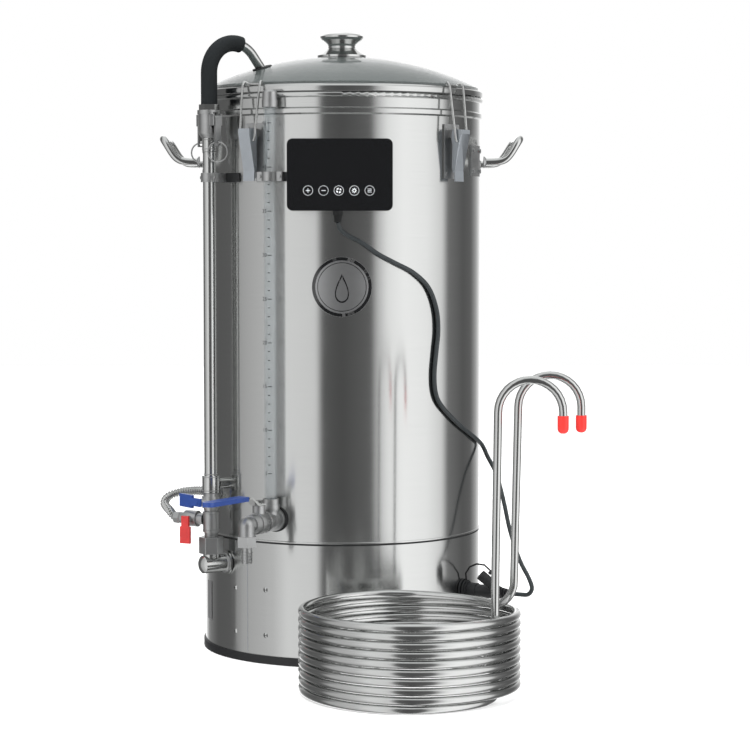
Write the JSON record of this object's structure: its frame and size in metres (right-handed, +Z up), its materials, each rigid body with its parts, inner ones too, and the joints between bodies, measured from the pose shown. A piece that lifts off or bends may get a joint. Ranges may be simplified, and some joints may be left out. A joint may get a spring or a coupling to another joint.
{
  "type": "electric all in one brewer",
  "caption": "Electric brewing kettle: stainless shell on a skirt, glass lid, latches, sight gauge, taps, recirculation pipe, control panel, immersion chiller.",
  "frame": {"origin": "on the kettle's vertical axis at the underside of the base tray", "axes": "+Z up along the kettle's axis, -Y is the front with the control panel, +X to the right seen from the front"},
  "size_m": [0.5087, 0.6285, 0.779],
  "materials": {
    "black_plastic": "moulded black plastic, satin",
    "black_rubber": "black rubber",
    "steel_skin": "brushed stainless sheet",
    "cast_steel": "cast and machined stainless, satin",
    "polished_steel": "polished stainless",
    "lever_steel": "stamped steel, blue-grey",
    "gauge_glass": "clear tube",
    "lid_glass": "tinted tempered glass",
    "black_glass": "black glass panel",
    "badge_plate": "plain etched steel badge",
    "blue_vinyl": "dipped blue vinyl",
    "red_vinyl": "dipped red vinyl",
    "foam": "closed-cell foam sleeve",
    "element": "sheathed heating element",
    "pump_plastic": "glass-filled plastic",
    "board": "green circuit board"
  },
  "bodies": {
    "brewer": {"base_tray": "black_plastic", "base_skirt": "steel_skin", "skirt_screws": "cast_steel", "kettle": "steel_skin", "false_bottom": "steel_skin", "heating_element": "element", "pump_motor": "black_plastic", "pump_head": "pump_plastic", "pump_pipes": "cast_steel", "relay_board": "board", "gauge_tube": "gauge_glass", "gauge_fittings": "cast_steel", "tap_gasket": "black_rubber", "tap_tee": "cast_steel", "tap_valve": "cast_steel", "hose_barb": "cast_steel", "union_nut": "cast_steel", "check_valve": "cast_steel", "drain_valve": "cast_steel", "column_valve": "cast_steel", "steel_hose": "polished_steel", "riser_pipe": "polished_steel", "camlock": "cast_steel", "clamp_strap": "black_rubber", "pipe_clips": "cast_steel", "controller_box": "steel_skin", "controller_panel": "black_glass", "strain_relief": "black_rubber", "badge": "badge_plate", "handle_left": "polished_steel", "handle_right": "polished_steel", "handle_brackets": "cast_steel", "latch_plates": "cast_steel", "socket": "black_plastic", "dust_cap": "black_rubber", "cord": "black_rubber", "plug": "black_plastic"},
    "lid": {"lid_glass": "lid_glass", "lid_rim": "steel_skin", "lid_knob": "polished_steel"},
    "recirculation_arm": {"arm_pipe": "polished_steel", "foam_sleeve": "foam"},
    "malt_pipe_body": {"malt_pipe": "steel_skin"},
    "impeller": {"pump_impeller": "pump_plastic"},
    "tap_handle": {"tap_lever": "polished_steel", "tap_grip": "blue_vinyl"},
    "drain_handle": {"red_handle": "red_vinyl"},
    "column_handle": {"blue_handle": "blue_vinyl"},
    "cam_left": {"cam_lever_left": "cast_steel"},
    "cam_right": {"cam_lever_right": "cast_steel"},
    "chiller": {"chiller_coil": "polished_steel", "chiller_caps": "red_vinyl"},
    "lever_1": {"latch_lever_1": "lever_steel"},
    "bail_1": {"latch_bail_1": "polished_steel"},
    "lever_2": {"latch_lever_2": "lever_steel"},
    "bail_2": {"latch_bail_2": "polished_steel"},
    "lever_3": {"latch_lever_3": "lever_steel"},
    "bail_3": {"latch_bail_3": "polished_steel"},
    "lever_4": {"latch_lever_4": "lever_steel"},
    "bail_4": {"latch_bail_4": "polished_steel"}
  },
  "joints": [
    {"name": "lid_lift", "type": "slide", "parent": "brewer", "child": "lid", "axis": [0, 0, 1], "range_m": [0, 0.05]},
    {"name": "arm_lift", "type": "slide", "parent": "brewer", "child": "recirculation_arm", "axis": [0, 0, 1], "range_m": [0, 0.05]},
    {"name": "malt_pipe_lift", "type": "slide", "parent": "brewer", "child": "malt_pipe_body", "axis": [0, 0, 1], "range_m": [0, 0.02]},
    {"name": "impeller_spin", "type": "hinge", "parent": "brewer", "child": "impeller", "pos_m": [-0.07946, -0.05564, 0.07], "axis": [0, 0, 1], "continuous": true},
    {"name": "tap_turn", "type": "hinge", "parent": "brewer", "child": "tap_handle", "pos_m": [-0.09965, -0.19389, 0.2], "axis": [0, 0, 1], "range_deg": [0, 90]},
    {"name": "drain_turn", "type": "hinge", "parent": "brewer", "child": "drain_handle", "pos_m": [-0.18477, -0.10166, 0.173], "axis": [-0.436, -0.9, 0], "range_deg": [0, 90]},
    {"name": "column_turn", "type": "hinge", "parent": "brewer", "child": "column_handle", "pos_m": [-0.16137, -0.11299, 0.195], "axis": [-0.8192, -0.5736, 0], "range_deg": [-90, 0]},
    {"name": "chiller_lift", "type": "slide", "parent": "brewer", "child": "chiller", "axis": [0, 0, 1], "range_m": [0, 0.08]},
    {"name": "cam_left_open", "type": "hinge", "parent": "brewer", "child": "cam_left", "pos_m": [-0.17084, -0.09948, 0.663], "axis": [0.8192, 0.5736, 0], "range_deg": [0, 90]},
    {"name": "cam_right_open", "type": "hinge", "parent": "brewer", "child": "cam_right", "pos_m": [-0.15191, -0.12651, 0.663], "axis": [-0.8192, -0.5736, 0], "range_deg": [0, 32]},
    {"name": "latch_1_open", "type": "hinge", "parent": "brewer", "child": "lever_1", "pos_m": [-0.11183, -0.15113, 0.646], "axis": [-0.8039, 0.5948, 0], "range_deg": [0, 92]},
    {"name": "bail_1_swing", "type": "hinge", "parent": "lever_1", "child": "bail_1", "pos_m": [-0.11391, -0.15394, 0.636], "axis": [0.8039, -0.5948, 0], "range_deg": [0, 245]},
    {"name": "latch_2_open", "type": "hinge", "parent": "brewer", "child": "lever_2", "pos_m": [0.14296, -0.1221, 0.646], "axis": [-0.6494, -0.7604, 0], "range_deg": [0, 92]},
    {"name": "bail_2_swing", "type": "hinge", "parent": "lever_2", "child": "bail_2", "pos_m": [0.14562, -0.12437, 0.636], "axis": [0.6494, 0.7604, 0], "range_deg": [0, 245]},
    {"name": "latch_3_open", "type": "hinge", "parent": "brewer", "child": "lever_3", "pos_m": [0.11183, 0.15113, 0.646], "axis": [0.8039, -0.5948, 0], "range_deg": [0, 92]},
    {"name": "bail_3_swing", "type": "hinge", "parent": "lever_3", "child": "bail_3", "pos_m": [0.11391, 0.15394, 0.636], "axis": [-0.8039, 0.5948, 0], "range_deg": [0, 245]},
    {"name": "latch_4_open", "type": "hinge", "parent": "brewer", "child": "lever_4", "pos_m": [-0.14296, 0.1221, 0.646], "axis": [0.6494, 0.7604, 0], "range_deg": [0, 92]},
    {"name": "bail_4_swing", "type": "hinge", "parent": "lever_4", "child": "bail_4", "pos_m": [-0.14562, 0.12437, 0.636], "axis": [-0.6494, -0.7604, 0], "range_deg": [0, 245]}
  ],
  "couplings": [
    {"joint": "arm_lift", "follows": "lid_lift", "ratio": 1},
    {"joint": "latch_1_open", "follows": "lid_lift", "rad_per_m": 31.416},
    {"joint": "bail_1_swing", "follows": "lid_lift", "rad_per_m": 83.776},
    {"joint": "latch_2_open", "follows": "lid_lift", "rad_per_m": 31.416},
    {"joint": "bail_2_swing", "follows": "lid_lift", "rad_per_m": 83.776},
    {"joint": "latch_3_open", "follows": "lid_lift", "rad_per_m": 31.416},
    {"joint": "bail_3_swing", "follows": "lid_lift", "rad_per_m": 83.776},
    {"joint": "latch_4_open", "follows": "lid_lift", "rad_per_m": 31.416},
    {"joint": "bail_4_swing", "follows": "lid_lift", "rad_per_m": 83.776}
  ]
}
